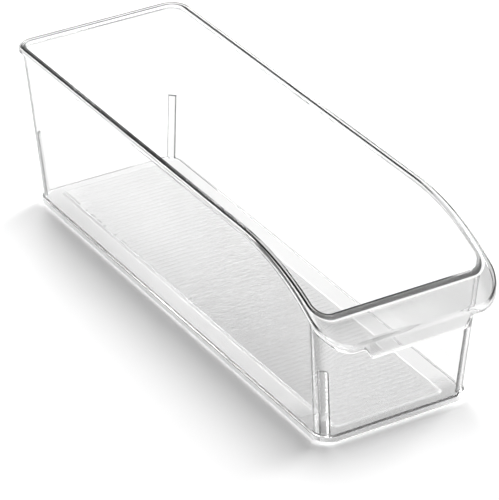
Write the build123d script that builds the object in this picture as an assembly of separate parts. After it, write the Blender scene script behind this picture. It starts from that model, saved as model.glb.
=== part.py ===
"""Clear narrow storage bin with a falling front edge and a pull lip, as its moulded members.

Millimetres. +Z is up, the pull lip faces -Y, and the origin is at the middle of the bin's
bottom. The bin is one moulding, so its members are separate solids that meet face to face.
"""
import os
from math import asin, atan2, degrees, radians, sqrt, tan

from build123d import *

# Overall sizes
overall_length = 321.0      # back of the rim to the front of the pull lip
overall_width = 102.0       # across the rim
overall_height = 94.5       # table to the top of the rim

# Walls
wall = 2.0                  # thickness of the four walls
corner_radius = 9.0         # outside of the upright corners
corner_flat = 1.0           # flat wall that goes with each rounded corner
side_draft = 4.4            # lean of the long walls, degrees
back_draft = 2.5            # lean of the back wall, degrees
front_draft = 5.0           # lean of the front wall, degrees

# Rim, falling edge and pull lip
rim_flange = 1.7            # how far the rim stands out from the walls at full height
rim_depth = 3.0             # height of the rim's outer edge
rim_rounding = 0.7          # rounding of the rim's upper outer edge
fall_length = 80.0          # length over which the top edge falls, back from the lip's front
front_height = 64.5         # top of the lip at its front
lip_reach = 20.0            # foot of the front wall to the lip's front
lip_sheet = 2.0             # thickness of the lip between the wall and its edge
lip_edge = 2.0              # width of the lip's turned-down edge
lip_corner_radius = 16.0    # the lip's front corners, seen from above

# Grip tab in the middle of the lip's edge
tab_width = 60.0            # where it leaves the lip's edge
tab_drop = 6.0              # below the lip's edge
tab_slope = 30.0            # lean of the tab's ends, degrees
tab_corner_radius = 3.0

# Base
floor_height = 4.0          # table to the floor inside, beside the raised panel
floor_thickness = 2.0
base_overhang = 1.1         # how far the base stands out from the walls
base_corner_radius = 10.0
base_rounding = 1.2         # rounding of the feet's lower outer edge
foot_width = 3.5            # width of the bars under the floor's edge

# Raised panel in the floor and its cross ribs
panel_side_margin = 9.3     # inside of the long walls to the panel
panel_end_margin = 5.1      # inside of the front and back walls to the panel
panel_rise = 0.8
panel_corner_radius = 3.0
rib_pitch = 3.5
rib_width = 2.0
rib_height = 0.15
rib_flank = 60.0            # slope of the ribs' sides, degrees
rib_end_margin = 2.0        # panel edge to the ends of the ribs

# Posts in the inside corners, on which a bin stacked inside comes to rest
post_width = 3.4            # flat face of a post, across the corner
post_thickness = 1.5        # in the middle of the rounded corner
post_flare = 35.0           # spread of a post's sides towards the corner, degrees
post_height = 38.0

# How far a body that cuts reaches past what it cuts
overreach = 8.0

front_edge = -overall_length / 2
back_edge = overall_length / 2
fall_start = front_edge + fall_length
floor_underside = floor_height - floor_thickness


def half_width(z):
    """Half the width outside the long walls at height z."""
    return overall_width / 2 - rim_flange - (overall_height - z) * tan(radians(side_draft))


def back_y(z):
    """Outside of the back wall at height z."""
    return back_edge - rim_flange - (overall_height - z) * tan(radians(back_draft))


def front_y(z):
    """Outside of the front wall at height z."""
    return front_edge + lip_reach - (z - floor_height) * tan(radians(front_draft))


def fall_radius(drop):
    """Radius of the top edge's fall after the edge has moved squarely down by drop."""
    fall = overall_height - front_height
    return (fall_length**2 + fall**2) / (2 * fall) - drop


def lip_height(drop):
    """Height at the lip's front of the top edge moved squarely down by drop."""
    radius = fall_radius(drop)
    return overall_height - drop - radius + sqrt(radius**2 - fall_length**2)


def between_x(left, right, low):
    """Block from height low up between two leaning faces, each given by its X at a height."""
    high = overall_height + overreach
    front_view = Polyline(
        (left(low), low),
        (right(low), low),
        (right(high), high),
        (left(high), high),
        close=True,
    )
    return extrude(Plane.XZ * make_face(front_view), amount=overall_length, both=True)


def between_y(front, back, low):
    """Block from height low up between two leaning faces, each given by its Y at a height."""
    high = overall_height + overreach
    side_view = Polyline(
        (front(low), low),
        (back(low), low),
        (back(high), high),
        (front(high), high),
        close=True,
    )
    return extrude(Plane.YZ * make_face(side_view), amount=overall_width, both=True)


def wall_block(inset):
    """Block with leaning sides and rounded corners, moved in by inset from the walls' outside."""
    block = between_x(
        lambda z: inset - half_width(z),
        lambda z: half_width(z) - inset,
        floor_height,
    )
    block = block & between_y(
        lambda z: front_y(z) + inset,
        lambda z: back_y(z) - inset,
        floor_height,
    )
    upright_edges = block.edges().filter_by(lambda edge: edge.bounding_box().size.Z > wall)
    return fillet(upright_edges, corner_radius - inset)


def base_outline(inset):
    """Outline of the base on the table, moved in by inset from its outside."""
    reach = base_overhang - inset
    width = 2 * (half_width(floor_height) + reach)
    front = front_y(floor_height) - reach
    back = back_y(floor_height) + reach
    outline = RectangleRounded(width, back - front, base_corner_radius - inset)
    return Pos(0, (front + back) / 2) * outline


def panel_limits():
    """Half the width of the raised panel, and its Y in front and behind."""
    half = half_width(floor_height) - wall - panel_side_margin
    front = front_y(floor_height) + wall + panel_end_margin
    back = back_y(floor_height) - wall - panel_end_margin
    return half, front, back


def flange_block(inset):
    """Upright block of the rim's and the pull lip's outline, moved in by inset."""
    outline = Rectangle(overall_width - 2 * inset, overall_length - 2 * inset)
    front_corners = outline.vertices().sort_by(Axis.Y)[:2]
    outline = fillet(front_corners, lip_corner_radius - inset)
    back_corners = outline.vertices().sort_by(Axis.Y)[-2:]
    outline = fillet(back_corners, corner_radius + rim_flange - inset)
    return extrude(outline, amount=overall_height + overreach)


def under_top_edge(drop):
    """Everything under the bin's top edge, which runs level and then falls in an arc.

    The edge is moved squarely down by drop, so that two of these bound an even sheet.
    """
    radius = fall_radius(drop)
    top = overall_height - drop
    reach = (fall_length + radius) / 2
    sweep = degrees(asin(reach / radius))
    arc = CenterArc((fall_start, top - radius), radius, 90, sweep)
    tip = arc @ 1
    frame = Polyline(
        (tip.X, tip.Y),
        (tip.X, -overreach),
        (back_edge + overreach, -overreach),
        (back_edge + overreach, top),
        (fall_start, top),
    )
    side_view = make_face([arc, frame])
    return extrude(Plane.YZ * side_view, amount=overall_width, both=True)


def region(across, along):
    """Block that holds one stretch of the moulding, between planes that lean with the walls.

    across is left, middle, right or full, and along is front, middle or back.
    """
    far = overall_width
    reach = corner_radius + corner_flat

    def right_split(z):
        return half_width(z) - reach

    def left_split(z):
        return reach - half_width(z)

    def front_split(z):
        return front_y(z) + reach

    def back_split(z):
        return back_y(z) - reach

    x_faces = {
        "left": (lambda z: -far, left_split),
        "middle": (left_split, right_split),
        "right": (right_split, lambda z: far),
        "full": (lambda z: -far, lambda z: far),
    }
    y_faces = {
        "front": (lambda z: front_edge - overreach, front_split),
        "middle": (front_split, back_split),
        "back": (back_split, lambda z: back_edge + overreach),
    }
    block = between_x(*x_faces[across], -overreach)
    return block & between_y(*y_faces[along], -overreach)


below_edge = under_top_edge(0)
below_rim = under_top_edge(rim_depth)
below_lip = under_top_edge(lip_sheet)
filled = wall_block(0)
cavity = wall_block(wall)


def make_walls():
    """Four flat leaning walls and the rounded corners between them."""
    tub = (filled - cavity) & below_edge
    members = {
        "left_wall": tub & region("left", "middle"),
        "right_wall": tub & region("right", "middle"),
        "front_wall": tub & region("middle", "front"),
        "back_wall": tub & region("middle", "back"),
    }
    for along in ("front", "back"):
        for across in ("left", "right"):
            members["corner_" + along + "_" + across] = tub & region(across, along)
    return members


def make_rim():
    """Rim bars on the left, right and back, and the pull lip across the front."""
    block = flange_block(0) & below_edge
    top_edges = block.edges().filter_by(lambda edge: edge.bounding_box().min.Z > floor_height)
    block = fillet(top_edges, min(rim_rounding, rim_flange / 2))
    ring = block - below_rim - filled
    hollow = flange_block(lip_edge) & below_lip
    return {
        "left_rim": ring & region("left", "middle"),
        "right_rim": ring & region("right", "middle"),
        "back_rim": ring & region("full", "back"),
        "front_lip": (ring & region("full", "front")) - hollow,
    }


def make_grip_tab():
    """Tab that hangs from the middle of the lip's edge, with sloping ends."""
    top = lip_height(0)
    low = lip_height(rim_depth)
    bottom = low - tab_drop
    lean = tan(radians(tab_slope))
    top_half = tab_width / 2 + (top - low) * lean
    bottom_half = tab_width / 2 - tab_drop * lean
    outline = make_face(
        Polyline(
            (-top_half, top),
            (top_half, top),
            (bottom_half, bottom),
            (-bottom_half, bottom),
            close=True,
        )
    )
    bottom_corners = outline.vertices().sort_by(Axis.Y)[:2]
    outline = fillet(bottom_corners, tab_corner_radius)
    slab = extrude(Plane.XZ * outline, amount=overall_length)
    edge = flange_block(0) - flange_block(lip_edge)
    return {"grip_tab": edge & slab & below_rim}


def make_base():
    """Floor plate, the bars it stands on, and the raised panel with its ribs."""
    block = extrude(base_outline(0), amount=floor_height)
    lower_edges = block.faces().sort_by(Axis.Z)[0].edges()
    block = fillet(lower_edges, min(base_rounding, foot_width / 2))
    lower = extrude(base_outline(-overreach), amount=floor_underside)
    opening = extrude(base_outline(foot_width), amount=floor_height)
    foot_ring = (block & lower) - opening
    half, front, back = panel_limits()
    outline = RectangleRounded(2 * half, back - front, panel_corner_radius)
    panel = Pos(0, (front + back) / 2, floor_height) * outline
    return {
        "floor_plate": block - lower,
        "foot_left": foot_ring & region("left", "middle"),
        "foot_right": foot_ring & region("right", "middle"),
        "foot_front": foot_ring & region("full", "front"),
        "foot_back": foot_ring & region("full", "back"),
        "floor_panel": extrude(panel, amount=panel_rise),
        "floor_ribs": Compound(children=make_ribs()),
    }


def make_ribs():
    """Cross ribs on the panel, one solid each, spread evenly about the panel's middle."""
    half, front, back = panel_limits()
    rib_length = 2 * (half - rib_end_margin)
    count = int((back - front - 2 * rib_end_margin - rib_width) / rib_pitch) + 1
    first = (back + front - (count - 1) * rib_pitch) / 2
    section = Trapezoid(rib_width, rib_height, rib_flank, align=(Align.CENTER, Align.MIN))
    rib = extrude(Plane.YZ * section, amount=rib_length / 2, both=True).solid()
    base = floor_height + panel_rise
    return [Pos(0, first + step * rib_pitch, base) * rib for step in range(count)]


def make_post(side_x, side_y):
    """Post across one inside corner, leaning with the corner and flat on top."""

    def inside_corner(z):
        y = back_y(z) - wall if side_y > 0 else front_y(z) + wall
        return Vector(side_x * (half_width(z) - wall), y, z)

    inside_radius = corner_radius - wall
    depth = (sqrt(2) - 1) * inside_radius + post_thickness
    face_half = post_width / 2
    root_half = face_half + depth * tan(radians(post_flare))
    foot = inside_corner(floor_height)
    climb = inside_corner(floor_height + post_height) - foot
    outline = Polyline(
        (-depth, -face_half),
        (0, -root_half),
        (0, root_half),
        (-depth, face_half),
        close=True,
    )
    towards_corner = degrees(atan2(side_y, side_x))
    face = Pos(foot) * Rot(0, 0, towards_corner) * make_face(outline)
    return extrude(face, amount=climb.length, dir=climb) & cavity


def make_posts():
    """Posts in the four inside corners."""
    members = {}
    for along, side_y in (("front", -1), ("back", 1)):
        for across, side_x in (("left", -1), ("right", 1)):
            members["post_" + along + "_" + across] = make_post(side_x, side_y)
    return members


def main():
    """Builds every member and writes each one to its own file."""
    members = {}
    for make in (make_base, make_walls, make_rim, make_grip_tab, make_posts):
        members.update(make())
    os.makedirs("parts", exist_ok=True)
    for name, shape in members.items():
        export_step(shape, "parts/" + name + ".step")


if __name__ == "__main__":
    main()
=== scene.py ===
"""Clear storage bin with a pull lip, dressed and lit as on a white photo table.

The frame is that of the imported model, in metres: +Z is up, the pull lip faces -Y and the origin
is in the middle of the bin's bottom. Sizes below are the part's own, in millimetres, and become
metres when a mesh is made.
"""
from __future__ import annotations

import logging
from dataclasses import dataclass, field
from enum import Enum
from functools import reduce

import bmesh
import bpy
import numpy as np
from mathutils import Matrix, Vector

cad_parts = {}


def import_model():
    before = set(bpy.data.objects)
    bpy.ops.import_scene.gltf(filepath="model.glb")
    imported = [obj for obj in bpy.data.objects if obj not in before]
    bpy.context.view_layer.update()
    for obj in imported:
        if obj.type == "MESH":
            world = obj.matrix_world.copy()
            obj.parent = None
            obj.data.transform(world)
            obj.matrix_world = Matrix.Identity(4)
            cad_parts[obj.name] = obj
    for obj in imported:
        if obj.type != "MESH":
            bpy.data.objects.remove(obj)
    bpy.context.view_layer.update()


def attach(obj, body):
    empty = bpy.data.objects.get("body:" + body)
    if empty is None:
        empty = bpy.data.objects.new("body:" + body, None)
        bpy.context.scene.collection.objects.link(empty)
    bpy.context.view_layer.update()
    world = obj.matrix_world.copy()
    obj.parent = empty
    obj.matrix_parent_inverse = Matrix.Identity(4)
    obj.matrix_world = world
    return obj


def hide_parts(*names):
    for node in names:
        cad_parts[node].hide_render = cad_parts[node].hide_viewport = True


Array = np.ndarray
Values = np.ndarray | float
Rows = list[tuple[np.ndarray, np.ndarray | float]]
Colour = tuple[float, float, float, float]
MILLIMETRE = 0.001
TINY = 1e-6
WHITE: Colour = (1.0, 1.0, 1.0, 1.0)
BODY = "root"
# Point attribute of painted light: above zero painted shade, below zero a frosted painted highlight.
PAINTED_LIGHT_MARK = "edge"
LAMP = "lamp_share"

log = logging.getLogger("storage_bin")


class Corner(Enum):
    """Corners in the order of the walk round the bin, with the signs of their X and Y."""

    FRONT_LEFT = (-1, -1)
    FRONT_RIGHT = (1, -1)
    BACK_RIGHT = (1, 1)
    BACK_LEFT = (-1, 1)


@dataclass(frozen=True)
class MouldSizes:
    """Sizes of the moulding in millimetres, and the lines that its walls and top edge follow."""

    length: float = 321.0
    width: float = 102.0
    height: float = 94.5
    wall: float = 2.0
    corner_radius: float = 9.0
    side_draft: float = 4.4
    back_draft: float = 2.5
    front_draft: float = 5.0
    rim_flange: float = 1.7
    rim_depth: float = 3.0
    rim_rounding: float = 0.7
    fall_length: float = 80.0
    front_height: float = 64.5
    lip_reach: float = 20.0
    lip_sheet: float = 2.0
    lip_edge: float = 2.0
    lip_corner_radius: float = 16.0
    tab_width: float = 60.0
    tab_drop: float = 6.0
    tab_slope: float = 30.0
    floor_height: float = 4.0
    floor_thickness: float = 2.0
    base_overhang: float = 1.1
    base_corner_radius: float = 10.0
    base_rounding: float = 1.2
    foot_width: float = 3.5
    panel_side_margin: float = 9.3
    panel_end_margin: float = 5.1
    panel_rise: float = 0.8
    panel_corner_radius: float = 3.0
    rib_pitch: float = 3.5
    rib_width: float = 2.0
    rib_height: float = 0.15
    rib_end_margin: float = 2.0
    post_width: float = 3.4
    post_thickness: float = 1.5
    post_flare: float = 35.0
    post_height: float = 38.0

    @property
    def front_edge(self) -> float:
        """Y of the lip's front."""
        return -self.length / 2

    @property
    def back_edge(self) -> float:
        """Y of the back of the rim."""
        return self.length / 2

    @property
    def fall_start(self) -> float:
        """Y where the top edge starts to fall."""
        return self.front_edge + self.fall_length

    @property
    def fall_radius(self) -> float:
        """Radius of the arc in which the top edge falls."""
        fall = self.height - self.front_height
        return (self.fall_length**2 + fall**2) / (2 * fall)

    def half_width(self, z: Values) -> Values:
        """Half the width outside the long walls at height z."""
        lean = np.tan(np.radians(self.side_draft))
        return self.width / 2 - self.rim_flange - (self.height - z) * lean

    def back_y(self, z: Values) -> Values:
        """Y of the back wall's outside at height z."""
        lean = np.tan(np.radians(self.back_draft))
        return self.back_edge - self.rim_flange - (self.height - z) * lean

    def front_y(self, z: Values) -> Values:
        """Y of the front wall's outside at height z."""
        lean = np.tan(np.radians(self.front_draft))
        return self.front_edge + self.lip_reach - (z - self.floor_height) * lean

    @property
    def post_lines(self) -> tuple[float, float, float]:
        """Distances from a corner's centre.

        Returns:
            The distances to the corner's inside, to its post's face and to the line of a post's side.
        """
        flare = np.radians(self.post_flare)
        inside = self.corner_radius - self.wall
        reach = inside - self.post_thickness
        return inside, reach, reach * np.sin(flare) - self.post_width / 2 * np.cos(flare)

    @property
    def post_bends(self) -> tuple[float, float]:
        """Angles at which a post bends.

        Returns:
            The angles from a corner's middle to the end of its post's face and to the post's root.
        """
        inside, reach, offset = self.post_lines
        root = np.radians(self.post_flare) - np.arcsin(offset / inside)
        return np.arctan2(self.post_width / 2, reach), root

    def post_reach(self, turn: Array) -> Array:
        """Distance from a corner's centre to its inside or its post, at a turn through the corner.

        The post's face is a straight line across the corner, so its distance is the reach over
        the cosine of the angle from the corner's middle. A side is a line too, at the flare's
        angle, so its distance is its offset over the sine of the angle that is left.

        Args:
            turn: angles from the corner's start.

        Returns:
            Distances, one for each angle.
        """
        inside, reach, offset = self.post_lines
        face, root = self.post_bends
        away = np.abs(turn - np.pi / 4)
        side = offset / np.sin(np.radians(self.post_flare) - np.clip(away, face, root))
        return np.where(away < face, reach / np.cos(away), np.where(away < root, side, inside))

    def edge_height(self, y: Array, drop: Values) -> Array:
        """Height of the top edge at y, moved squarely down by drop.

        The edge is level behind the fall's start. In front of it, it is an arc round a centre
        straight below that start, so a drop makes the arc's radius smaller.

        Args:
            y: places along the bin.
            drop: distance below the top edge, square to it.

        Returns:
            Heights, one for each y.
        """
        ahead = np.maximum(self.fall_start - y, 0.0)
        radius = self.fall_radius - drop
        return self.height - self.fall_radius + np.sqrt(radius**2 - ahead**2)


def smooth_ramp(value: Array) -> Array:
    """Ramp from 0 to 1 over the unit range, level at both ends."""
    share = np.clip(value, 0.0, 1.0)
    return share * share * (3.0 - 2.0 * share)


def blend(start: Values, end: Values, share: Values) -> Values:
    """Goes from start to end by a share of the way."""
    return start + share * (end - start)


def layered(base: Values, *layers: tuple[Values, Values]) -> Values:
    """Goes from a base value to each layer's value in turn, by the layer's share."""
    return reduce(lambda value, layer: blend(value, *layer), layers, base)


def between(start: Array, end: Array, count: int) -> list[Array]:
    """Rows in even steps between two others."""
    return [blend(start, end, share) for share in np.linspace(0, 1, count + 1)[1:-1]]


def quarter_turn(steps: int) -> Array:
    """Angles from 0 to a right angle in even steps."""
    return np.linspace(0.0, np.pi / 2, steps + 1)


def rounded(radius: float, steps: int) -> list[tuple[float, float, float]]:
    """Walk round a rounded edge: its angles, with the distances from the faces it leaves and meets."""
    turns = quarter_turn(steps)
    return list(zip(turns, radius * (1 - np.cos(turns)), radius * (1 - np.sin(turns))))


def marked(rows: list[Array], mark: Values = 0.0) -> Rows:
    """Rows with one mark of painted light for all of them."""
    return [(row, mark) for row in rows]


def bend_mark(turn: float, strength: Values) -> Values:
    """Mark of painted light on a rounded edge: none where it leaves the faces and full in its middle."""
    return strength * np.sin(2 * turn)


@dataclass
class Perimeter:
    """Walk round the bin, anticlockwise seen from above, that all its outlines share.

    Each place on the walk belongs to one corner, or to a share of the way between a first and a
    second one. An outline is then the corners' centres plus their radii along the place's
    outward direction, so rows from different outlines fit together as one grid.
    """

    sizes: MouldSizes

    # Steps of each stretch, the share of a side that has close steps, and half a crease's angle.
    corner_steps: int = 28
    front_steps: int = 150
    back_steps: int = 16
    fall_steps: int = 56
    level_steps: int = 18
    fall_share: float = 0.26
    crease: float = 0.012

    first: Array = field(init=False)
    second: Array = field(init=False)
    share: Array = field(init=False)
    angle: Array = field(init=False)
    turn: Array = field(init=False)

    def __post_init__(self) -> None:
        """Lays out the places: a straight side and then a corner, four times over."""
        even_front = np.linspace(0, 1, self.front_steps + 1)[1:-1]
        even_back = np.linspace(0, 1, self.back_steps + 1)[1:-1]
        falling = np.linspace(0, self.fall_share, self.fall_steps + 1)
        level = np.linspace(self.fall_share, 1, self.level_steps + 1)
        side = np.concatenate([falling[1:], level[1:-1]])
        straights = [even_front, side, even_back, 1 - side[::-1]]
        starts = np.radians([-90.0, 0.0, 90.0, 180.0])
        turns = self.corner_turns()
        columns = []
        for index, straight in enumerate(straights):
            ahead = (index + 1) % len(Corner)
            plain = np.zeros_like(straight)
            columns.append([plain + index, plain + ahead, straight, plain + starts[index], plain])
            bend = np.zeros_like(turns)
            columns.append([bend + ahead, bend + ahead, bend, turns + starts[index], turns])
        table = np.concatenate([np.stack(column) for column in columns], axis=1)
        self.first, self.second = table[0].astype(int), table[1].astype(int)
        self.share, self.angle, self.turn = table[2], table[3], table[4]

    def corner_turns(self) -> Array:
        """Turns through a corner: even steps, and close pairs where a post bends.

        Returns:
            Rising angles from 0 to a right angle.
        """
        bends = np.array(self.sizes.post_bends)
        pairs = np.concatenate([bends - self.crease, bends + self.crease])
        middle = np.pi / 4
        even = quarter_turn(self.corner_steps)
        free = np.abs(np.abs(even - middle)[:, None] - bends[None, :]).min(axis=1) > 2 * self.crease
        return np.sort(np.concatenate([even[free], middle - pairs, middle + pairs]))

    @property
    def count(self) -> int:
        """Number of places on the walk."""
        return len(self.share)

    @property
    def in_corner(self) -> Array:
        """Which places lie in a corner."""
        return self.first == self.second

    @property
    def keys(self) -> Array:
        """Rising number of each place: even plus a share on a straight, odd plus a turn in a corner."""
        corner = 2 * ((self.first - 1) % len(Corner)) + 1 + self.turn / (np.pi / 2)
        return np.where(self.in_corner, corner, 2 * self.first + self.share)

    def outline(self, centres: tuple[Values, Values], radii: tuple[Values, Values],
                depths: tuple[Values, Values]) -> tuple[Array, Array]:
        """Points of a rounded outline: centre plus radius times the outward direction.

        Args:
            centres: X of the front corners' centres and of the back ones', right side.
            radii: radii of the front and back corners.
            depths: Y of the front corners' centres and of the back ones'.

        Returns:
            X and Y at every place of the walk.
        """
        signs = np.array([corner.value for corner in Corner])
        out_x, out_y = np.cos(self.angle), np.sin(self.angle)
        ends = []
        for corner in (self.first, self.second):
            front = signs[corner, 1] < 0
            radius, x, y = (np.where(front, *pair) for pair in (radii, centres, depths))
            ends.append((signs[corner, 0] * x + radius * out_x, y + radius * out_y))
        (x_a, y_a), (x_b, y_b) = ends
        return blend(x_a, x_b, self.share), blend(y_a, y_b, self.share)

    def wall(self, z: Values, inset: Values) -> tuple[Array, Array]:
        """Outline of the leaning walls: one corner radius, on centres that follow the lean.

        Args:
            z: height, or one for each place.
            inset: distance in from the walls' outside.

        Returns:
            X and Y at every place of the walk.
        """
        s = self.sizes
        z = np.zeros(self.count) + z
        r = s.corner_radius
        across = s.half_width(z) - r
        return self.outline((across, across), (r - inset, r - inset),
                            (s.front_y(z) + r, s.back_y(z) - r))

    def flange(self, inset: Values) -> tuple[Array, Array]:
        """Outline of the rim and the pull lip: wide corners in front, narrow ones behind.

        Args:
            inset: distance in from the flange's outside.

        Returns:
            X and Y at every place of the walk.
        """
        s = self.sizes
        front, back = s.lip_corner_radius, s.corner_radius + s.rim_flange
        return self.outline((s.width / 2 - front, s.width / 2 - back),
                            (front - inset, back - inset),
                            (s.front_edge + front, s.back_edge - back))

    def base(self, inset: Values) -> tuple[Array, Array]:
        """Outline of the base: the walls' foot moved out by the overhang.

        Args:
            inset: distance in from the base's outside.

        Returns:
            X and Y at every place of the walk.
        """
        s = self.sizes
        r = s.base_corner_radius
        across = s.half_width(s.floor_height) + s.base_overhang - r
        front = s.front_y(s.floor_height) - s.base_overhang + r
        back = s.back_y(s.floor_height) + s.base_overhang - r
        return self.outline((across, across), (r - inset, r - inset), (front, back))


@dataclass(frozen=True)
class LampShare:
    """Share of lamp light that passes the plastic at each place.

    Little is lost in most faces. The left and front sides are turned away from the lamps, and
    near the foot they hold most of the light back, which leaves the bin's shadow on the table.
    A side goes in by the depth from the walls' outside, or from an outset beyond it, and then
    fades out over the reach.
    """

    sizes: MouldSizes
    depth: float
    reach: float = 2.0
    outset: float = 0.0
    most: float = 0.975
    least: float = 0.0
    fade: float = 26.0
    front_part: float = 0.45

    def at(self, points: Array) -> Array:
        """Shares at the given places: the loss falls off exponentially with height.

        Args:
            points: places in millimetres.

        Returns:
            Shares, one for each place.
        """
        s, (x, y, z) = self.sizes, points.T
        level, limit = np.maximum(z, s.floor_height), self.depth + self.reach - self.outset
        left = smooth_ramp((limit - x - s.half_width(level)) / self.reach)
        front = smooth_ramp((limit - y + s.front_y(level)) / self.reach)
        away = np.maximum(left, self.front_part * front)
        return self.most - (self.most - self.least) * away * np.exp(-z / self.fade)


@dataclass
class Surface:
    """Points and faces of one skin, in millimetres, with each point's mark of painted light."""

    points: Array
    quads: Array
    # Marks of painted light, one for each point.
    edge: Array
    caps: list[Array] = field(default_factory=list)

    @staticmethod
    def from_rows(rows: Rows, closed: bool) -> Surface:
        """Skin over rows that each run round in a ring.

        Args:
            rows: places on each ring, with each one's mark of painted light: shade above zero, highlight
                below.
            closed: whether the last row joins the first, or both rows are capped flat.

        Returns:
            The skin.
        """
        points = np.stack([row for row, _ in rows])
        edge = np.stack([np.zeros(len(row)) + mark for row, mark in rows])
        count, ring = points.shape[:2]
        index = np.arange(count * ring).reshape(count, ring)
        upper = np.roll(index, -1, axis=0) if closed else index[1:]
        lower = index if closed else index[:-1]
        quads = np.stack([lower, np.roll(lower, -1, axis=1), np.roll(upper, -1, axis=1), upper], axis=-1)
        caps = [] if closed else [index[0][::-1], index[-1]]
        return Surface(points.reshape(-1, 3), quads.reshape(-1, 4), edge.ravel(), caps)

    def joined(self, other: Surface, caps: list[Array]) -> Surface:
        """This skin and another as one.

        Args:
            other: the other skin, whose points come after this one's.
            caps: faces that take the place of both skins' caps.

        Returns:
            The whole skin.
        """
        return Surface(np.concatenate([self.points, other.points]),
                       np.concatenate([self.quads, other.quads + len(self.points)]),
                       np.concatenate([self.edge, other.edge]), caps)

    def to_object(self, name: str, lamp: LampShare) -> bpy.types.Object:
        """Makes the Blender object, with faces outwards and its place in its mesh.

        Args:
            name: name of the object and its mesh.
            lamp: how much lamp light it lets through.

        Returns:
            The object, linked to the scene.
        """
        faces = self.quads.tolist() + [cap.tolist() for cap in self.caps]
        mesh = bpy.data.meshes.new(name)
        mesh.from_pydata((self.points * MILLIMETRE).tolist(), [], faces)
        for key, values in ((PAINTED_LIGHT_MARK, self.edge), (LAMP, lamp.at(self.points))):
            mesh.attributes.new(key, "FLOAT", "POINT").data.foreach_set("value", values)
        shape = bmesh.new()
        shape.from_mesh(mesh)
        bmesh.ops.remove_doubles(shape, verts=shape.verts, dist=TINY)
        if shape.calc_volume(signed=True) < 0:
            bmesh.ops.reverse_faces(shape, faces=shape.faces)
        shape.to_mesh(mesh)
        shape.free()
        self.shade(mesh)
        piece = bpy.data.objects.new(name, mesh)
        bpy.context.scene.collection.objects.link(piece)
        return piece

    @staticmethod
    def shade(mesh: bpy.types.Mesh) -> None:
        """Smooth shading in which a point's direction is its faces' mean, weighted by area.

        Args:
            mesh: the finished mesh.
        """
        count = len(mesh.polygons)
        normals, areas = np.empty(count * 3), np.empty(count)
        totals, corners = np.empty(count, int), np.empty(len(mesh.loops), int)
        mesh.polygons.foreach_get("normal", normals)
        mesh.polygons.foreach_get("area", areas)
        mesh.polygons.foreach_get("loop_total", totals)
        mesh.loops.foreach_get("vertex_index", corners)
        weighted = np.repeat(normals.reshape(-1, 3) * areas[:, None], totals, axis=0)
        sums = np.zeros((len(mesh.vertices), 3))
        np.add.at(sums, corners, weighted)
        sums /= np.maximum(np.linalg.norm(sums, axis=1, keepdims=True), np.finfo(float).tiny)
        mesh.polygons.foreach_set("use_smooth", np.ones(count, bool))
        mesh.normals_split_custom_set_from_vertices(sums.tolist())


class NodeTree:
    """Small helper round a node tree."""

    def __init__(self, tree: bpy.types.NodeTree) -> None:
        """Empties the tree and keeps it."""
        tree.nodes.clear()
        self.tree = tree

    def feed(self, socket: bpy.types.NodeSocket, source: object) -> None:
        """Links a socket to its source, or sets it to a plain value.

        Args:
            socket: the input.
            source: another node's output, or a value.
        """
        if isinstance(source, bpy.types.NodeSocket):
            self.tree.links.new(source, socket)
        else:
            socket.default_value = source

    def node(self, kind: str, *sources: object, **values: object) -> bpy.types.Node:
        """Adds a node with its properties and inputs.

        Args:
            kind: the node's type name.
            sources: what feeds its first inputs, in order.
            values: properties and other inputs by name, with underscores for spaces.

        Returns:
            The node.
        """
        made = self.tree.nodes.new(kind)
        for key, value in values.items():
            socket = made.inputs.get(key.replace("_", " "))
            if socket is None:
                setattr(made, key, value)
            else:
                self.feed(socket, value)
        for socket, source in zip(made.inputs, sources):
            self.feed(socket, source)
        return made

    def math(self, operation: str, *sources: object, clamp: bool = False) -> bpy.types.NodeSocket:
        """Adds a calculation on two sources and gives its result."""
        return self.node("ShaderNodeMath", *sources, operation=operation, use_clamp=clamp).outputs["Value"]


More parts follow.
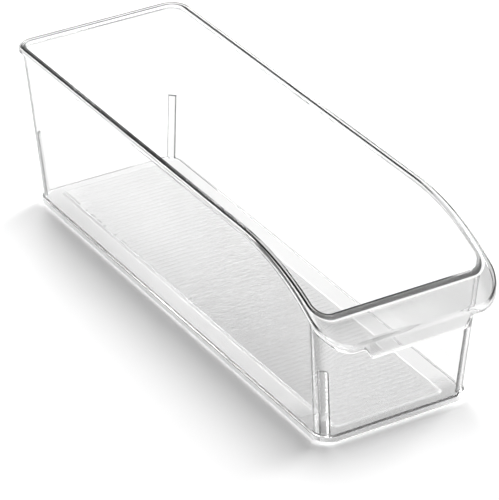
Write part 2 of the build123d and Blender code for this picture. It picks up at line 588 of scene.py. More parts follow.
@dataclass(frozen=True)
class ClearPlastic:
    """Clear moulded plastic: it bends light, and lets some lamp light through.

    A mark above zero paints shade on an edge: its colour goes towards the shade colour, for the dark
    lines that bent light shows in clear plastic. A mark below zero paints a highlight: the edge turns
    frosted white and catches the lamps. Faces seen along their length get painted shade too.
    """

    name: str
    # How dark the painted shade gets on faces seen along their length.
    glance_shade: float
    clear: Colour = (0.972, 0.972, 0.972, 1.0)
    # Colour of the painted shade on marked edges and glancing faces.
    painted_shade_colour: Colour = (0.0005, 0.0005, 0.0005, 1.0)
    ior: float = 1.55
    smooth: float = 0.0
    dull: float = 0.03
    mottle_scale: float = 60.0
    mottle_detail: float = 3.0
    glance_from: float = 0.6
    glance_to: float = 0.78
    wave_scale: float = 90.0
    wave_detail: float = 1.0
    wave_height: float = 0.00003
    haze: float = 0.02

    def build(self) -> bpy.types.Material:
        """Makes the material.

        Returns:
            A material with a Principled shader, and a tinted Transparent one for lamp rays.
        """
        material = bpy.data.materials.new(self.name)
        material.use_nodes = True
        nodes = NodeTree(material.node_tree)
        plastic = nodes.node("ShaderNodeBsdfPrincipled", IOR=self.ior, **self.surface(nodes),
                             **self.marks(nodes))
        share = nodes.node("ShaderNodeAttribute", attribute_name=LAMP).outputs["Fac"]
        lamp_rays = nodes.node("ShaderNodeBsdfTransparent", share)
        path = nodes.node("ShaderNodeLightPath")
        mix = nodes.node("ShaderNodeMixShader", path.outputs["Is Shadow Ray"],
                         plastic.outputs["BSDF"], lamp_rays.outputs["BSDF"])
        nodes.node("ShaderNodeOutputMaterial", mix.outputs["Shader"])
        return material

    def surface(self, nodes: NodeTree) -> dict[str, bpy.types.NodeSocket]:
        """Gives the faces a patchy polish and the slow waves of moulded sheet.

        Args:
            nodes: the material's nodes.

        Returns:
            What feeds the shader's inputs, by name.
        """
        place = nodes.node("ShaderNodeTexCoord").outputs["Object"]
        mottle = nodes.node("ShaderNodeTexNoise", place, Scale=self.mottle_scale, Detail=self.mottle_detail)
        polish = nodes.node("ShaderNodeMapRange", mottle.outputs[0], To_Min=self.smooth, To_Max=self.dull)
        wave = nodes.node("ShaderNodeTexNoise", place, Scale=self.wave_scale, Detail=self.wave_detail)
        bump = nodes.node("ShaderNodeBump", Strength=1.0, Distance=self.wave_height, Height=wave.outputs[0])
        return {"Roughness": polish.outputs["Result"], "Normal": bump.outputs["Normal"]}

    def marks(self, nodes: NodeTree) -> dict[str, bpy.types.NodeSocket]:
        """Paints shade on the marked edges by greying them and highlights by frosting them, and paints shade
        on faces seen along their length.

        Args:
            nodes: the material's nodes.

        Returns:
            What feeds the shader's inputs, by name.
        """
        edge = nodes.node("ShaderNodeAttribute", attribute_name=PAINTED_LIGHT_MARK).outputs["Fac"]
        facing = nodes.node("ShaderNodeLayerWeight", Blend=0.5).outputs["Facing"]
        glance = nodes.node("ShaderNodeMapRange", facing, From_Min=self.glance_from,
                            From_Max=self.glance_to, To_Max=self.glance_shade)
        # Painted shade: the greater of the glancing shade and the edge's mark.
        depth = nodes.math("MAXIMUM", glance.outputs["Result"], edge, clamp=True)
        colour = nodes.node("ShaderNodeMix", depth, data_type="RGBA")
        shades = [socket for socket in colour.inputs if socket.type == "RGBA"]
        shades[0].default_value, shades[1].default_value = self.clear, self.painted_shade_colour
        mixed = next(socket for socket in colour.outputs if socket.type == "RGBA")
        # Painted highlight: marks below zero lower the transmission, so the edge turns diffuse white.
        painted_light = nodes.node("ShaderNodeMapRange", edge, From_Min=-1.0, From_Max=0.0, To_Max=1 - self.haze)
        return {"Base_Color": mixed, "Transmission_Weight": painted_light.outputs["Result"]}


@dataclass(frozen=True)
class CornerLine:
    """Upright grey line of painted shade on the outside of one corner: its middle and half width in degrees
    of turn.
    """

    corner: Corner
    middle: float
    spread: float
    mark: float


@dataclass
class Tub:
    """Walls, corner posts, rim, pull lip and grip tab as one closed skin.

    The skin is a list of rows that all follow the walk round the bin: up the inside, over the
    top, under the rim and lip, down the outside and back under the foot.
    """

    sizes: MouldSizes
    walk: Perimeter

    # Details in millimetres that are finer than the solids need.
    gap: float = 0.03
    inner_rounding: float = 0.3
    lower_rounding: float = 0.5
    under_fillet: float = 0.5
    foot_rounding: float = 0.5
    post_rounding: float = 0.5
    groove_draft: float = 0.35
    groove_from: float = 2.4
    groove_run: float = 2.0
    tab_blend: float = 1.4

    # Painted light on the edges, from 1 for dark painted shade over 0 for clear to -1 for a frosted painted
    # highlight.
    inner_mark: float = 1.0
    left_inner_mark: float = 0.4
    faded_inner_mark: float = -0.4
    fall_inner_mark: float = -0.3
    band_mark: float = -0.15
    band_halo_mark: float = -0.7
    gap_mark: float = -0.5
    rim_shade_mark: float = 1.0
    left_mark: float = -0.6
    rim_mark: float = 0.6
    fall_mark: float = 1.0
    lip_mark: float = -0.4
    fold_mark: float = 0.42
    lip_end_mark: float = 0.22
    sheet_mark: float = 0.42
    sheet_end_mark: float = 0.65
    left_sheet_mark: float = 0.7
    near_mark: float = 0.35
    face_mark: float = 0.4
    lower_mark: float = -0.9
    halo_mark: float = -1.0
    foot_mark: float = 0.7
    left_foot_mark: float = 0.1
    wall_mark: float = 0.18
    post_mark: float = 0.95
    post_face_mark: float = 0.3
    # Painted shade: upright grey lines on the corners' outside.
    corner_lines: tuple[CornerLine, ...] = (
        CornerLine(Corner.FRONT_LEFT, middle=8.0, spread=8.0, mark=0.6),
        CornerLine(Corner.FRONT_LEFT, middle=26.0, spread=36.0, mark=0.45),
        CornerLine(Corner.FRONT_RIGHT, middle=60.0, spread=25.0, mark=0.4),
        CornerLine(Corner.BACK_LEFT, middle=60.0, spread=40.0, mark=0.9),
    )

    # Where the painted lines on top lie: shares of the wall in from its outside, on the level and on the
    # left fall, and then millimetres further out, fewer where the top is narrower than halo_run.
    line_places: tuple[float, ...] = (0.58, 0.53, 0.34, 0.28, -0.42, -0.5)
    fall_places: tuple[float, ...] = (0.58, 0.5, 0.18, 0.12, -0.42, -0.5)
    halo_places: tuple[float, ...] = (0.1, 0.25, 1.1, 1.3)

    # Widths of the painted lines, and where their painted light changes, in millimetres.
    halo_run: float = 12.0
    line_width: float = 0.9
    fold_fade: float = 10.0
    lip_start: float = 12.0
    lip_ease: float = 6.4
    parting_start: float = 20.0
    parting_run: float = 10.0
    return_start: float = 36.0
    return_run: float = 20.0

    # The outer painted line: its width on the lip, its most on a narrow rim, and how much of it is full.
    lip_line_share: float = 0.5
    line_limit: float = 0.6
    line_core: float = 0.7

    # Numbers of steps.
    steps: int = 6
    post_steps: int = 4
    face_steps: int = 5
    sheet_steps: int = 10
    outer_steps: int = 10
    settle_steps: int = 8

    # How much each place of the walk belongs to a part of the flange, and how far the painted lines
    # on the left fall have parted and its inner edge's painted shade has come back.
    fall: Array = field(init=False)
    lip: Array = field(init=False)
    left: Array = field(init=False)
    back: Array = field(init=False)
    right: Array = field(init=False)
    right_corner: Array = field(init=False)
    beside_tab: Array = field(init=False)
    parted: Array = field(init=False)
    returned: Array = field(init=False)
    right_fall: Array = field(init=False)

    nodes: tuple[str, ...] = (
        "front_wall", "back_wall", "left_wall", "right_wall",
        "corner_front_left", "corner_front_right", "corner_back_left", "corner_back_right",
        "left_rim", "right_rim", "back_rim", "front_lip", "grip_tab",
        "post_front_left", "post_front_right", "post_back_left", "post_back_right",
    )

    def __post_init__(self) -> None:
        """Works out the eased shares of the flange's parts, and of the changes down both falls."""
        s, (x, y) = self.sizes, self.walk.flange(0.0)
        half, narrow, wide, tab = s.width / 2, s.corner_radius, s.lip_corner_radius, s.tab_width
        ahead = s.fall_start - y
        self.fall = smooth_ramp(ahead / s.lip_reach)
        self.lip = smooth_ramp((s.front_edge + self.lip_start - y) / self.lip_ease)
        self.left = smooth_ramp((-x - half + narrow) / narrow)
        self.back = smooth_ramp((y - s.back_edge + narrow) / narrow)
        self.right = smooth_ramp((x + tab / 2) / tab)
        self.right_corner = smooth_ramp((x - half + wide) / (wide / 2))
        self.beside_tab = smooth_ramp((-x - tab / 2) / self.fold_fade)
        self.parted = smooth_ramp((ahead - self.parting_start) / self.parting_run)
        self.returned = smooth_ramp((ahead - self.return_start) / self.return_run)
        x, y = self.walk.wall(s.front_height, s.wall)
        end = s.front_edge + s.lip_reach - narrow
        faded = smooth_ramp((s.fall_start - y) / s.lip_reach) * smooth_ramp((y - end) / narrow)
        self.right_fall = faded * smooth_ramp((x - half / 2) / narrow)

    def row(self, plan: tuple[Array, Array], z: Values) -> Array:
        """Joins plan places and heights into one row."""
        return np.stack([plan[0], plan[1], np.zeros(self.walk.count) + z], axis=-1)

    def wall_row(self, z: Values, inset: Values) -> Array:
        """Row on the walls at height z."""
        return self.row(self.walk.wall(z, inset), z)

    def wall_edge_row(self, drop: Values, inset: Values) -> Array:
        """Row on the walls at a drop below the top edge.

        The height follows from Y, and Y from the height through the lean, so the two are
        settled in turn.

        Args:
            drop: distance below the top edge.
            inset: distance in from the walls' outside.

        Returns:
            The row.
        """
        z = np.full(self.walk.count, self.sizes.height) - drop
        for _ in range(self.settle_steps):
            z = self.sizes.edge_height(self.walk.wall(z, inset)[1], drop)
        return self.wall_row(z, inset)

    def at_drop(self, x: Array, y: Array, drop: Values) -> Array:
        """Row at the given places in plan, at a drop below the top edge."""
        return self.row((x, y), self.sizes.edge_height(y, drop))

    def flange_row(self, drop: Values, inset: Values) -> Array:
        """Row on the flange's outline at a drop below the top edge."""
        return self.at_drop(*self.walk.flange(inset), drop)

    def on_top(self, places: Array) -> Array:
        """The same places, lifted or lowered onto the top of the rim and lip."""
        return self.at_drop(places[:, 0], places[:, 1], 0.0)

    def sheet_rows(self, start: Array, end: Array, drop: Values) -> list[Array]:
        """Rows between two others, straight in plan and kept at a drop below the top edge."""
        return [self.at_drop(row[:, 0], row[:, 1], drop) for row in between(start, end, self.sheet_steps)]

    def post_inset(self) -> Array:
        """Distance from the walls' outside to the posts, or to the plain inside."""
        s, inside = self.sizes, self.sizes.corner_radius - self.sizes.wall
        return s.corner_radius - np.where(self.walk.in_corner, s.post_reach(self.walk.turn), inside)

    def post_marks(self) -> Array:
        """Painted shade on the posts: full on a side, from its one bend to the other, and faint on the face.

        Returns:
            Marks, one for each place of the walk.
        """
        face, root = self.sizes.post_bends
        away = np.abs(self.walk.turn - np.pi / 4)
        sides = self.walk.in_corner & (away > face - TINY) & (away < root + TINY)
        faces = self.walk.in_corner & (away < face)
        return np.maximum(self.post_mark * sides, self.post_face_mark * faces)

    def tab_fall(self, x: Array, y: Array) -> Array:
        """How far the grip tab hangs below the lip's edge: full in the middle, with eased ends.

        Args:
            x: places across the bin.
            y: places along it.

        Returns:
            Distances, one for each place.
        """
        s = self.sizes
        run = s.tab_drop * np.tan(np.radians(s.tab_slope)) + self.tab_blend
        share = (s.tab_width / 2 + self.tab_blend / 2 - np.abs(x)) / run
        return np.where(y < s.front_edge + s.lip_corner_radius, s.tab_drop * smooth_ramp(share), 0)

    def outer_marks(self) -> Array:
        """Painted light on the outer edge: a frosted painted highlight on the left and left of the tab, dark
        painted shade on the falls, else grey painted shade.
        """
        front = layered(self.fold_mark, (self.lip_end_mark, self.right), (self.lip_mark, self.beside_tab))
        return layered(self.rim_mark, (self.left_mark, self.left), (self.fall_mark, self.fall),
                       (front, self.lip * (1 - self.right_corner)))

    def inner_marks(self) -> Array:
        """Painted light on the inner edge: dark painted shade, but lighter on the left, and a frosted
        painted highlight high on both falls.
        """
        side = layered(self.left_inner_mark, (self.fall_inner_mark, self.fall),
                       (self.inner_mark, self.returned))
        return layered(self.inner_mark, (self.faded_inner_mark, self.right_fall), (side, self.left))

    def middle_marks(self) -> Array:
        """Painted light next to the inner edge: clear behind, a frosted painted highlight on the left fall
        and faintly in front.
        """
        return layered(self.inner_marks() * (1 - self.back), (self.gap_mark, self.left * self.fall),
                       (self.band_mark, self.lip))

    def sheet_marks(self) -> Array:
        """Painted light on the top outside the walls: grey painted shade at the lip's right, and on the left
        fall till it turns to a frosted painted highlight.

        Returns:
            Marks, one for each place of the walk.
        """
        grey = self.sheet_mark * self.right + (self.sheet_end_mark - self.sheet_mark) * self.right_corner
        lines = blend(self.left_sheet_mark, self.gap_mark, self.parted)
        return self.fall * (grey + lines * self.left * (1 - self.lip))

    def foot_marks(self) -> Array:
        """Painted shade at the walls' foot: a dark line in front, a faint one on the left, none elsewhere.

        Returns:
            Marks, one for each place of the walk.
        """
        s, (x, y) = self.sizes, self.walk.base(0.0)
        left = smooth_ramp((-x - s.half_width(s.floor_height) + s.corner_radius) / s.corner_radius)
        front = smooth_ramp((s.front_y(s.floor_height) + s.corner_radius - y) / s.corner_radius)
        return blend(self.left_foot_mark * left, self.foot_mark, front)

    def corner_marks(self) -> Array:
        """Painted shade on the upright corners' outside, eased from each line's middle to its sides.

        Returns:
            Marks, one for each place of the walk.
        """
        marks = np.zeros(self.walk.count)
        for line in self.corner_lines:
            inside = self.walk.in_corner & (self.walk.first == list(Corner).index(line.corner))
            away = np.abs(np.degrees(self.walk.turn) - line.middle) / line.spread
            marks += inside * line.mark * smooth_ramp(1 - away)
        return marks

    def inner_rows(self) -> Rows:
        """Inside of the walls from the floor up, with the posts and their flat tops.

        Returns:
            Rows from the foot's rounding to the inner edge's.
        """
        s = self.sizes
        post, plain = self.post_inset(), s.wall
        top = s.floor_height + s.post_height
        start = self.wall_row(s.floor_height + self.gap + self.foot_rounding, post)
        end = self.wall_row(top - self.post_rounding, post)
        rows = marked([start] + between(start, end, self.post_steps) + [end], self.post_marks())
        for _, back, down in rounded(self.post_rounding, self.post_steps)[1:]:
            inset = post - np.minimum(post - plain, back)
            rows.append((self.wall_row(top - down, inset), self.post_mark * (post > plain)))
        rows += marked([self.wall_row(top + self.gap, plain)])
        upper = self.wall_edge_row(self.inner_rounding, plain)
        return rows + marked(between(rows[-1][0], upper, self.steps))

    def top_rows(self) -> Rows:
        """Rounded inner edge, top of the rim and lip with its painted lines of shade and highlight, and
        rounded outer edge.

        Returns:
            Rows from the walls' inside to the flange's outside.
        """
        s, inner, middle, outer = self.sizes, self.inner_marks(), self.middle_marks(), self.outer_marks()
        # Painted shade: a dark line along the left rim.
        rim_shade = self.rim_shade_mark * self.left * (1 - self.lip)
        narrow = (1 - self.left) * (1 - self.fall)
        sheet = blend(self.sheet_marks(), outer, narrow)
        # Painted highlight: a frosted white line along the band in front.
        halo = blend(sheet, self.band_halo_mark, self.lip)
        rows = [(self.wall_edge_row(down, s.wall - back), inner * np.sin(turn))
                for turn, back, down in rounded(self.inner_rounding, self.steps)]
        marks = (inner, middle, middle, rim_shade, rim_shade + narrow * outer, sheet)
        rows += [(self.wall_edge_row(0.0, blend(level, steep, self.fall * self.left) * s.wall), mark)
                 for level, steep, mark in zip(self.line_places, self.fall_places, marks)]
        rim = [(self.flange_row(down, back), outer * np.cos(turn / 2))
               for turn, down, back in rounded(s.rim_rounding, self.steps)]
        start, end = rows[-1][0], rim[0][0]
        run = end - start
        width = np.linalg.norm(run[:, :2], axis=1)[:, None]
        rows += [(self.on_top(start + run * place / np.maximum(width, self.halo_run)), mark)
                 for place, mark in zip(self.halo_places, (sheet, halo, halo, sheet))]
        wide = self.line_width * blend(1.0, self.lip_line_share, self.lip[:, None])
        line = run * np.minimum(wide / width, self.line_limit)
        far = self.on_top(end - line)
        near = self.near_mark * self.lip * (1 - self.right)
        plain = self.sheet_rows(rows[-1][0], far, 0.0) + [far]
        rows += [(row, sheet + near * share**2) for row, share in zip(plain, np.linspace(1, 0, len(plain)))]
        return rows + [(self.on_top(end - self.line_core * line), outer)] + rim

    def under_rows(self) -> Rows:
        """Outer edge down to its lower side or the tab's, and the lip's underside to the wall.

        Returns:
            Rows from the flange's outside to the fillet under it.
        """
        s = self.sizes
        bottom = self.flange_row(s.rim_depth, 0.0)
        width = np.linalg.norm((bottom - self.wall_edge_row(s.rim_depth, 0.0))[:, :2], axis=1)
        edge = np.minimum(s.lip_edge, width / 2)
        groove = (s.rim_depth - s.lip_sheet) * smooth_ramp((width - self.groove_from) / self.groove_run)
        under = s.rim_depth - groove
        fall = np.outer(self.tab_fall(bottom[:, 0], bottom[:, 1]), (0.0, 0.0, 1.0))

        def lower(drop: Values, inset: Values) -> Array:
            """Row on the edge, let down by the tab's fall."""
            return self.flange_row(drop, inset) - fall

        turns = rounded(self.lower_rounding, self.steps)
        outer = self.flange_row(s.rim_rounding, 0.0)
        # Painted shade: the lip's outer face is greyed.
        rows = marked(between(outer, lower(s.rim_depth - self.lower_rounding, 0.0), self.face_steps),
                      self.face_mark * self.lip)
        # Painted highlight: the lip's lower rounding is frosted white.
        rows += [(lower(s.rim_depth - up, back), self.lip * self.lower_mark * np.cos(turn))
                 for turn, back, up in turns]
        rows += marked([lower(s.rim_depth - up, edge - back * edge / s.lip_edge) for _, up, back in turns])
        inner = self.flange_row(under, edge + self.groove_draft)
        rows += marked(between(rows[-1][0], inner, self.face_steps) + [inner])
        # Painted highlight: the fillet under the rim and lip is frosted white.
        fillet = [(self.wall_edge_row(under + down, -out), bend_mark(turn, self.halo_mark))
                  for turn, down, out in rounded(self.under_fillet, self.steps)]
        return rows + marked(self.sheet_rows(inner, fillet[0][0], under)) + fillet

    def outer_rows(self, start: Array) -> Rows:
        """Outside of the walls down to the base, and the walls' foot.

        Args:
            start: the row under the rim and lip.

        Returns:
            Rows from there to the inside's foot.
        """
        s, r = self.sizes, self.foot_rounding
        low, foot, turns = s.floor_height + self.gap, self.foot_marks(), rounded(r, self.steps)
        line = self.wall_row(low + r + self.line_width / 2, 0.0)
        # Painted shade: the left wall greys towards the front, on top of the corners' painted lines.
        wall_shade = self.wall_mark * self.left * smooth_ramp((s.back_edge - line[:, 1]) / s.length)
        rows = marked(between(start, line, self.outer_steps) + [line], self.corner_marks() + wall_shade)
        # Painted shade: the dark line at the walls' foot.
        rows += marked([self.wall_row(low + r + self.line_width / 3, 0.0)], foot)
        rows += [(self.wall_row(low + up, back), foot * np.cos(turn / 2)) for turn, back, up in turns]
        post = self.post_inset()
        return rows + marked([self.wall_row(low + up, post - back) for _, up, back in turns[:-1]])

    def build(self, finish: bpy.types.Material) -> bpy.types.Object:
        """Makes the tub.

        Args:
            finish: its material.

        Returns:
            The tub, in place of the nodes that it stands for.
        """
        rows = self.inner_rows() + self.top_rows() + self.under_rows()
        rows += self.outer_rows(rows[-1][0])
        lamp = LampShare(self.sizes, depth=self.sizes.wall)
        return dress(Surface.from_rows(rows, closed=True).to_object("tub", lamp), finish, self.nodes)


def zip_rings(outer: Array, inner: Array, outer_start: int, inner_start: int) -> Array:
    """Triangles between two closed rings with different numbers of points.

    Both rings carry rising keys. Each step along either ring makes one triangle with the point
    that the other ring has reached by then.

    Args:
        outer: keys of the outer ring.
        inner: keys of the inner ring.
        outer_start: index of the outer ring's first point.
        inner_start: index of the inner ring's first point.

    Returns:
        Triangles as rows of three indices.
    """
    steps_a, steps_b = np.arange(len(outer)), np.arange(len(inner))
    reached_b = (np.searchsorted(inner, outer, side="right") - 1) % len(inner)
    reached_a = (np.searchsorted(outer, inner, side="left") - 1) % len(outer)
    along_outer = np.stack([outer_start + (steps_a - 1) % len(outer), outer_start + steps_a,
                            inner_start + reached_b], axis=-1)
    along_inner = np.stack([inner_start + steps_b, inner_start + (steps_b - 1) % len(inner),
                            outer_start + reached_a], axis=-1)
    return np.concatenate([along_outer, along_inner])


@dataclass
class FloorPanel:
    """Raised panel in the floor, with its cross ribs, as an open skin without an underside."""

    sizes: MouldSizes
    slope_outside: float = 0.7
    slope_inside: float = 1.3
    # Painted light: negative marks frost a place white as a painted highlight, positive ones grey it as
    # painted shade.
    edge_mark: float = -0.8
    rib_mark: float = 0.2
    panel_light_mark: float = -0.7
    panel_light_from: float = -0.5
    panel_light_lean: float = 0.5
    left_border_mark: float = -1.0
    right_border_mark: float = -0.65
    front_border_mark: float = 0.35
    left_fade: float = 4.0
    right_fade: float = 8.0
    corner_steps: int = 10
    columns: int = 12
    rib_steps: int = 8
    steps: int = 8
    half: float = field(init=False)
    middle: float = field(init=False)
    reach: float = field(init=False)
    crests: Array = field(init=False)
    lines: Array = field(init=False)

    def __post_init__(self) -> None:
        """Works out the panel's half width, middle and half length, and the rows that its ribs need."""
        s = self.sizes
        self.half = s.half_width(s.floor_height) - s.wall - s.panel_side_margin
        back = s.back_y(s.floor_height) - s.wall - s.panel_end_margin
        front = s.front_y(s.floor_height) + s.wall + s.panel_end_margin
        self.middle, self.reach = (back + front) / 2, (back - front) / 2
        span = 2 * (self.reach - s.rib_end_margin) - s.rib_width
        count = int(span / s.rib_pitch) + 1
        self.crests = (np.arange(count) - (count - 1) / 2) * s.rib_pitch
        offsets = np.linspace(-0.5, 0.5, self.rib_steps + 1) * s.rib_width
        self.lines = (self.crests[:, None] + offsets[None, :]).ravel()

    def border(self, inset: float) -> tuple[Array, Array]:
        """Half width and Y of every row: a corner's arc, the straight side, a corner's arc.

        Args:
            inset: distance in from the panel's outline.

        Returns:
            Half widths, and Y from the panel's middle.
        """
        r = self.sizes.panel_corner_radius
        turns = quarter_turn(self.corner_steps)
        bend_x = self.half - r + (r - inset) * np.cos(turns)
        bend_y = self.reach - r + (r - inset) * np.sin(turns)
        straight = np.full(len(self.lines), self.half - inset)
        widths = np.concatenate([bend_x[::-1], straight, bend_x])
        return widths, np.concatenate([-bend_y[::-1], self.lines, bend_y])

    def shares(self) -> Array:
        """Places across the panel from -1 to 1, with the ribs' ends among them.

        Returns:
            Rising shares of the half width.
        """
        end = 1 - self.sizes.rib_end_margin / self.half
        full = end - self.sizes.rib_width / 2 / self.half
        inside = np.linspace(-full, full, self.columns + 1)
        return np.concatenate([[-1, -end], inside, [end, 1]])

    def around(self, front: Array, right: Array, back: Array, left: Array) -> Array:
        """Joins values on the four sides of the grid into one ring without doubles."""
        return np.concatenate([front, right[1:], back[1:], left[1:-1]])

    def ring(self, inset: float, z: float) -> Array:
        """Closed ring on the border: along the front, the right, the back and the left.

        Args:
            inset: distance in from the panel's outline.
            z: height.

        Returns:
            Places on the ring.
        """
        widths, y = self.border(inset)
        across = self.shares()
        level = np.ones(len(across))
        x = self.around(across * widths[0], widths, -across * widths[-1], -widths[::-1])
        y = self.around(level * y[0], y, level * y[-1], y[::-1])
        return np.stack([x, y + self.middle, np.full(len(x), z)], axis=-1)

    @property
    def keys(self) -> Array:
        """Rising number of each place on the ring, as on the walk round the bin.

        Returns:
            Even numbers plus a share on the sides, odd ones plus a share in the corners.
        """
        part = (self.shares() + 1) / 2
        bend = np.linspace(0, 1, self.corner_steps + 1)
        run = (self.lines - self.lines[0] + 1) / (self.lines[-1] - self.lines[0] + 2)
        side = np.concatenate([1 + bend, 2 + run, 3 + bend])
        return self.around(part, side, 4 + part, 4 + side)

    def top(self, inset: float, z: float) -> tuple[Array, Array]:
        """Grid over the panel: ribs are raised cosines along Y, faded out at their ends.

        Args:
            inset: distance in from the panel's outline.
            z: height between the ribs.

        Returns:
            The grid's places, and its painted light: grey painted shade on the ribs' fronts and a frosted
            painted highlight on their backs, with painted lightness that grows towards the back and the
            left.
        """
        s = self.sizes
        widths, y = self.border(inset)
        across = self.shares()
        x = widths[:, None] * across[None, :]
        y = np.broadcast_to(y[:, None], x.shape)
        step = np.round((y - self.crests[0]) / s.rib_pitch)
        offset = np.clip((y - self.crests[0] - step * s.rib_pitch) / (s.rib_width / 2), -1, 1)
        wave = (1 + np.cos(np.pi * offset)) / 2
        held = np.abs(y) <= self.crests[-1] + s.rib_width / 2
        ends = np.abs(across) < 1 - s.rib_end_margin / self.half - TINY
        ribbed = held * ends[None, :]
        backward = smooth_ramp((y / self.reach - self.panel_light_from) / (1 - self.panel_light_from))
        painted_light = self.panel_light_mark * backward * (1 - self.panel_light_lean * across)
        marks = painted_light - self.rib_mark * np.sin(np.pi * offset) * ribbed
        return np.stack([x, y + self.middle, z + s.rib_height * wave * ribbed], axis=-1), marks

    def border_light(self, ring: Array) -> Array:
        """Painted light on the border round the panel: grey painted shade in front, a frosted painted
        highlight behind and along the sides.

        Args:
            ring: places round the panel.

        Returns:
            Marks, one for each place.
        """
        right = smooth_ramp((ring[:, 0] + self.half) / (2 * self.half))
        fade = blend(self.left_fade, self.right_fade, right)
        away = smooth_ramp(fade * ((ring[:, 1] - self.middle) / self.reach + 1))
        side = blend(self.left_border_mark, self.right_border_mark, right)
        return blend(self.front_border_mark, side, away)

    def skin(self) -> Surface:
        """Rings up the panel's sloped edge, an eased ramp, closed on top by the ribbed grid.

        Returns:
            The skin, open below.
        """
        s = self.sizes
        shares = np.linspace(0, 1, self.steps + 1)
        insets = -self.slope_outside + shares * (self.slope_outside + self.slope_inside)
        heights = s.floor_height + s.panel_rise * smooth_ramp(shares)
        rings = [(ring, self.edge_mark * np.sin(np.pi * share) + (1 - share) * self.border_light(ring))
                 for ring, share in zip(map(self.ring, insets, heights), shares)]
        grid, marks = self.top(insets[-1], heights[-1])
        index = np.arange(marks.size).reshape(marks.shape)
        quads = np.stack([index[:-1, :-1], index[:-1, 1:], index[1:, 1:], index[1:, :-1]], axis=-1)
        top = Surface(grid.reshape(-1, 3), quads.reshape(-1, 4), marks.ravel())
        return Surface.from_rows(rings, closed=False).joined(top, [])


@dataclass
class Base:
    """Floor with its raised ribbed panel, and the feet under its edge."""

    sizes: MouldSizes
    walk: Perimeter
    panel: FloorPanel
    upper_rounding: float = 0.4
    inner_rounding: float = 0.4
    side_start: float = 0.6
    # Painted light on the base: positive marks grey an edge as painted shade, negative ones frost it white
    # as a painted highlight.
    upper_mark: float = 0.4
    front_side_mark: float = 0.45
    side_mark: float = -1.0
    front_strip_mark: float = 0.1
    strip_mark: float = -0.13
    lower_mark: float = -1.0
    least_lamp: float = 0.1
    steps: int = 6

    nodes: tuple[str, ...] = (
        "floor_plate", "floor_panel", "floor_ribs",
        "foot_front", "foot_back", "foot_left", "foot_right",
    )

    def row(self, z: float, inset: float) -> Array:
        """Row on the base's outline."""
        x, y = self.walk.base(inset)
        return np.stack([x, y, np.full(self.walk.count, z)], axis=-1)

    def rows(self) -> Rows:
        """Profile carried round the base: floor, rounded outer edge, foot and flat underside.

        Returns:
            Rows from the floor inside the walls to the underside.
        """
        s, upper = self.sizes, self.upper_rounding
        top, under = s.floor_height, s.floor_height - s.floor_thickness
        front = smooth_ramp((s.front_y(top) + s.corner_radius - self.walk.base(0.0)[1]) / s.corner_radius)
        strip = blend(self.strip_mark, self.front_strip_mark, front)
        side = blend(self.side_mark, self.front_side_mark, front)
        floor = self.row(top, s.base_overhang + s.wall / 2)
        rows = [(floor, self.panel.border_light(floor)), (self.row(top, s.base_overhang), strip)]
        edge = self.upper_mark * front
        rows += [(self.row(top - down, back), bend_mark(turn, edge) + strip * np.cos(turn))
                 for turn, down, back in rounded(upper, self.steps)]
        rows += marked([self.row(top - self.side_start, 0.0), self.row(s.base_rounding + upper, 0.0)], side)
        rows += [(self.row(up, back), self.lower_mark * np.cos(turn))
                 for turn, back, up in rounded(s.base_rounding, self.steps)]
        turns = rounded(self.inner_rounding, self.steps)
        rows += marked([self.row(up, s.foot_width - out) for _, up, out in turns])
        return rows + marked([self.row(under - down, s.foot_width + back) for _, back, down in turns])

    def build(self, finish: bpy.types.Material) -> bpy.types.Object:
        """Makes the base, with triangles between its floor and the panel's edge.

        Args:
            finish: its material.

        Returns:
            The base, in place of the nodes that it stands for.
        """
        skin = Surface.from_rows(self.rows(), closed=False)
        border = zip_rings(self.walk.keys, self.panel.keys, 0, len(skin.points))
        whole = skin.joined(self.panel.skin(), [skin.caps[1], *border])
        lamp = LampShare(self.sizes, depth=0.0, reach=self.upper_rounding,
                         outset=self.sizes.base_overhang, least=self.least_lamp)
        return dress(whole.to_object("base", lamp), finish, self.nodes)


def dress(piece: bpy.types.Object, finish: bpy.types.Material, nodes: tuple[str, ...]) -> bpy.types.Object:
    """Gives a piece its material and its place in the model.

    Args:
        piece: the new piece.
        finish: its material.
        nodes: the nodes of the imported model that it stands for.

    Returns:
        The same piece.
    """
    piece.data.materials.append(finish)
    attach(piece, BODY)
    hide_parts(*nodes)
    return piece


def aimed(place: Vector, target: Vector) -> Matrix:
    """Placing that looks from a place along -Z at a target."""
    return Matrix.Translation(place) @ (target - place).to_track_quat("-Z", "Y").to_matrix().to_4x4()


@dataclass(frozen=True)
class CameraView:
    """Where the photograph was taken from, in millimetres, and the lens."""

    eye: tuple[float, float, float] = (-774.8, -1344.5, 905.5)
    target: tuple[float, float, float] = (-3.57, -6.55, 33.28)
    roll: float = -1.044
    focal_pixels: float = 3474.4
    frame_height: float = 500.0
    sensor: float = 36.0
    clip_end: float = 20.0

    def build(self) -> bpy.types.Object:
        """Makes the camera and hands it to the scene.

        Returns:
            The camera.
        """
        data = bpy.data.cameras.new("camera")
        data.sensor_fit = "VERTICAL"
        data.sensor_height = self.sensor
        data.lens = self.focal_pixels / self.frame_height * self.sensor
        data.clip_end = self.clip_end
        camera = bpy.data.objects.new("camera", data)
        eye, target = Vector(self.eye) * MILLIMETRE, Vector(self.target) * MILLIMETRE
        turn = Matrix.Rotation(np.radians(self.roll), 4, "Z")
        camera.matrix_world = aimed(eye, target) @ turn
        bpy.context.scene.collection.objects.link(camera)
        bpy.context.scene.camera = camera
        return camera


@dataclass(frozen=True)
class SoftLamp:
    """Square soft lamp aimed at the bin, in watts and metres."""

    name: str
    power: float
    size: float
    place: tuple[float, float, float]

    def build(self) -> None:
        """Hangs the lamp."""
        data = bpy.data.lights.new(self.name, "AREA")
        data.energy, data.size = self.power, self.size
        lamp = bpy.data.objects.new(self.name, data)
        lamp.matrix_world = aimed(Vector(self.place), Vector())
        bpy.context.scene.collection.objects.link(lamp)


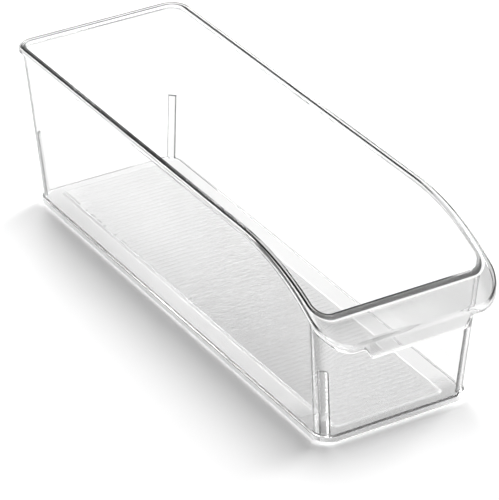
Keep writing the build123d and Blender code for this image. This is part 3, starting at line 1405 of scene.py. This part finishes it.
@dataclass
class Studio:
    """White table, pale surroundings and soft lamps."""

    floor_reach: float = 3.0
    floor_level: float = -0.00006
    floor_colour: Colour = (0.9, 0.9, 0.9, 1.0)
    floor_roughness: float = 0.7
    world_light: float = 0.17
    ceiling_tone: float = 0.3
    ceiling_from: float = 0.15
    ceiling_to: float = 0.4
    first_bounce: float = 0.5
    bounces: int = 32
    lamps: tuple[SoftLamp, ...] = (
        SoftLamp("overhead", power=12.0, size=1.1, place=(0.12, 0.05, 2.05)),
        SoftLamp("right", power=125.0, size=1.6, place=(2.9, 0.75, 2.5)),
        SoftLamp("behind", power=10.0, size=0.6, place=(0.18, 0.95, 0.95)),
        SoftLamp("front", power=16.0, size=0.35, place=(-0.5, -1.6, 0.2)),
        SoftLamp("left", power=3.0, size=0.2, place=(-1.5, 0.3, 0.12)),
    )

    def floor(self) -> bpy.types.Object:
        """Makes the table: a plain pale sheet that keeps the bin's shadow.

        Returns:
            The table.
        """
        reach = self.floor_reach
        points = np.array([[-reach, -reach], [reach, -reach], [reach, reach], [-reach, reach]])
        mesh = bpy.data.meshes.new("table")
        mesh.from_pydata([(x, y, self.floor_level) for x, y in points], [], [(0, 1, 2, 3)])
        table = bpy.data.objects.new("table", mesh)
        bpy.context.scene.collection.objects.link(table)
        material = bpy.data.materials.new("table_white")
        material.use_nodes = True
        nodes = NodeTree(material.node_tree)
        paint = nodes.node("ShaderNodeBsdfPrincipled", Base_Color=self.floor_colour,
                           Roughness=self.floor_roughness)
        nodes.node("ShaderNodeOutputMaterial", paint.outputs["BSDF"])
        mesh.materials.append(material)
        return table

    def world(self) -> None:
        """Makes the surroundings: a white room with a darker ceiling, dimmer where it only lights."""
        world = bpy.data.worlds.new("surroundings")
        bpy.context.scene.world = world
        world.use_nodes = True
        nodes = NodeTree(world.node_tree)
        path = nodes.node("ShaderNodeLightPath").outputs
        parts = nodes.node("ShaderNodeSeparateXYZ", nodes.node("ShaderNodeTexCoord").outputs["Generated"])
        rise = nodes.node("ShaderNodeMapRange", parts.outputs["Z"], From_Min=self.ceiling_from,
                          From_Max=self.ceiling_to, To_Min=1.0, To_Max=self.ceiling_tone)
        tone = nodes.math("MAXIMUM", rise.outputs["Result"], path["Is Camera Ray"])
        bounced = nodes.math("ADD", path["Is Glossy Ray"], path["Is Transmission Ray"])
        direct = nodes.math("LESS_THAN", path["Diffuse Depth"], self.first_bounce)
        shown = nodes.math("MULTIPLY", bounced, direct)
        seen = nodes.math("ADD", shown, path["Is Camera Ray"], clamp=True)
        light = nodes.node("ShaderNodeBackground", Color=WHITE, Strength=self.world_light)
        white = nodes.node("ShaderNodeBackground", Color=WHITE, Strength=tone)
        mix = nodes.node("ShaderNodeMixShader", seen, light.outputs[0], white.outputs[0])
        nodes.node("ShaderNodeOutputWorld", mix.outputs[0])

    def build(self) -> None:
        """Sets up the table, the surroundings and the lamps."""
        self.floor()
        self.world()
        for lamp in self.lamps:
            lamp.build()
        scene = bpy.context.scene
        scene.cycles.max_bounces = self.bounces
        scene.cycles.glossy_bounces = self.bounces
        scene.cycles.transmission_bounces = self.bounces
        scene.cycles.caustics_refractive = False
        scene.cycles.caustics_reflective = False
        scene.view_settings.view_transform = "Standard"


def main() -> None:
    """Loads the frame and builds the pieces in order."""
    logging.basicConfig(level=logging.INFO, format="%(name)s: %(message)s")
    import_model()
    sizes = MouldSizes()
    walk = Perimeter(sizes)
    wall_plastic = ClearPlastic("clear_walls", glance_shade=0.8).build()
    floor_plastic = ClearPlastic("clear_floor", glance_shade=0.0).build()
    makers = ((Tub(sizes, walk), wall_plastic), (Base(sizes, walk, FloorPanel(sizes)), floor_plastic))
    for maker, finish in makers:
        piece = maker.build(finish)
        log.info("%s: %d faces, for %d nodes", piece.name, len(piece.data.polygons), len(maker.nodes))
    Studio().build()
    CameraView().build()


if __name__ == "__main__":
    main()
